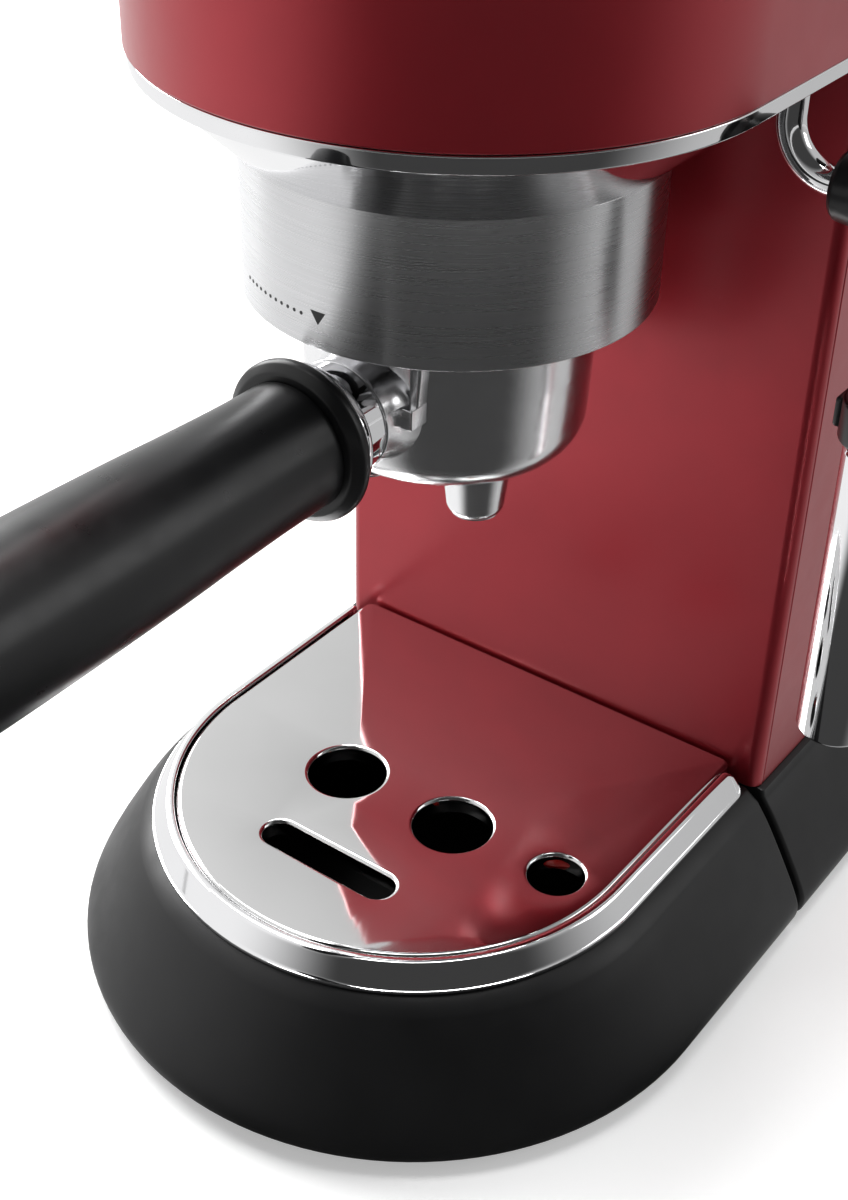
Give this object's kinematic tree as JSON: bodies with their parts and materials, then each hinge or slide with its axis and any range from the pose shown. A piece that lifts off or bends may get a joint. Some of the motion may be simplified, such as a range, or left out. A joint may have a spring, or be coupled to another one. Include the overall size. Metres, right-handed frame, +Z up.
{
  "type": "espresso machine",
  "caption": "Slim pump espresso machine with a red painted body, chrome cup tray, twin-spout portafilter, swinging steam wand and lift-out rear water tank.",
  "frame": {"origin": "under the middle of the bounding box, on the surface the machine stands on", "axes": "+Z up; -Y towards the user, out of the front of the machine; +X towards the side with the steam wand"},
  "size_m": [0.1636, 0.416, 0.303],
  "materials": {
    "red_paint": "satin metallic red",
    "chrome": "mirror",
    "brushed_steel": "fine circumferential brushing",
    "cast_metal": "polished casting",
    "black_plastic": "satin moulded",
    "gloss_black": "gloss",
    "rubber": "matte",
    "silicone": "translucent hose",
    "brass": "machined",
    "aluminium": "as cast or pressed",
    "smoke_plastic": "smoked",
    "board_green": "solder mask",
    "signal_red": "satin"
  },
  "bodies": {
    "machine": {"head_cover": "red_paint", "column_panel": "red_paint", "trim_ring": "chrome", "head_underside": "chrome", "steam_tube": "chrome", "steam_pipe": "chrome", "group_skirt": "brushed_steel", "bayonet_ring": "brushed_steel", "shower_screen": "brushed_steel", "screen_screw": "brushed_steel", "cup_plate": "brushed_steel", "base_chassis": "black_plastic", "bottom_plate": "black_plastic", "vibration_pump": "black_plastic", "thermal_cutout": "black_plastic", "top_cover": "gloss_black", "foot_front_left": "rubber", "foot_front_right": "rubber", "foot_rear_left": "rubber", "foot_rear_right": "rubber", "group_gasket": "rubber", "pump_mount_lower": "rubber", "pump_mount_upper": "rubber", "cord_gland": "rubber", "tank_seat": "rubber", "inlet_hose": "silicone", "pressure_hose": "silicone", "steam_valve": "brass", "group_body": "aluminium", "inner_frame": "aluminium", "thermoblock": "aluminium", "button_board": "board_green", "control_board": "board_green"},
    "portafilter": {"portafilter_body": "cast_metal", "filter_basket": "brushed_steel", "spout_left": "cast_metal", "spout_right": "cast_metal", "handle_neck": "chrome", "handle_flange": "black_plastic", "handle_grip": "black_plastic", "handle_cap": "chrome"},
    "tray": {"drip_tray": "black_plastic", "tray_rim": "chrome"},
    "grille": {"cup_grille": "chrome"},
    "float": {"float_indicator": "signal_red"},
    "wand": {"steam_joint": "black_plastic", "steam_grip": "black_plastic", "steam_sleeve": "chrome", "steam_nozzle": "brushed_steel"},
    "selector": {"frother_selector": "black_plastic"},
    "knob": {"steam_knob": "black_plastic", "knob_shaft": "brass"},
    "tank": {"water_tank": "smoke_plastic", "tank_valve": "black_plastic"},
    "lid": {"tank_lid": "gloss_black"},
    "rocker": {"power_switch": "gloss_black"},
    "one_cup_button": {"button_one": "gloss_black"},
    "two_cup_button": {"button_two": "gloss_black"},
    "steam_button": {"button_steam": "gloss_black"}
  },
  "joints": [
    {"name": "portafilter_lock", "type": "hinge", "parent": "machine", "child": "portafilter", "pos_m": [-0.00755, -0.039, 0.1445], "axis": [0, 0, 1], "range_deg": [-60, 0]},
    {"name": "tray_pull", "type": "slide", "parent": "machine", "child": "tray", "axis": [0, -1, 0], "range_m": [0, 0.12]},
    {"name": "grille_lift", "type": "slide", "parent": "tray", "child": "grille", "axis": [0, 0, 1], "range_m": [0, 0.03]},
    {"name": "float_rise", "type": "slide", "parent": "tray", "child": "float", "axis": [0, 0, 1], "range_m": [0, 0.0105]},
    {"name": "wand_swing", "type": "hinge", "parent": "machine", "child": "wand", "pos_m": [0.05645, -0.014, 0.1872], "axis": [1, 0, 0], "range_deg": [-40, 25]},
    {"name": "froth_select", "type": "slide", "parent": "wand", "child": "selector", "axis": [0, 0, 1], "range_m": [0, 0.004]},
    {"name": "steam_turn", "type": "hinge", "parent": "machine", "child": "knob", "pos_m": [0.05145, 0.001, 0.252], "axis": [-1, 0, 0], "range_deg": [0, 150]},
    {"name": "tank_lift", "type": "slide", "parent": "machine", "child": "tank", "axis": [0, 0, 1], "range_m": [0, 0.15]},
    {"name": "lid_hinge", "type": "hinge", "parent": "tank", "child": "lid", "pos_m": [-0.00755, 0.1496, 0.2988], "axis": [1, 0, 0], "range_deg": [0, 95]},
    {"name": "power_rock", "type": "hinge", "parent": "machine", "child": "rocker", "pos_m": [0.02245, 0.1995, 0.0185], "axis": [1, 0, 0], "range_deg": [0, 16]},
    {"name": "one_cup_press", "type": "slide", "parent": "machine", "child": "one_cup_button", "axis": [0, 0, -1], "range_m": [0, 0.0015], "stiffness_N_per_m": 300},
    {"name": "two_cup_press", "type": "slide", "parent": "machine", "child": "two_cup_button", "axis": [0, 0, -1], "range_m": [0, 0.0015], "stiffness_N_per_m": 300},
    {"name": "steam_press", "type": "slide", "parent": "machine", "child": "steam_button", "axis": [0, 0, -1], "range_m": [0, 0.0015], "stiffness_N_per_m": 300}
  ]
}
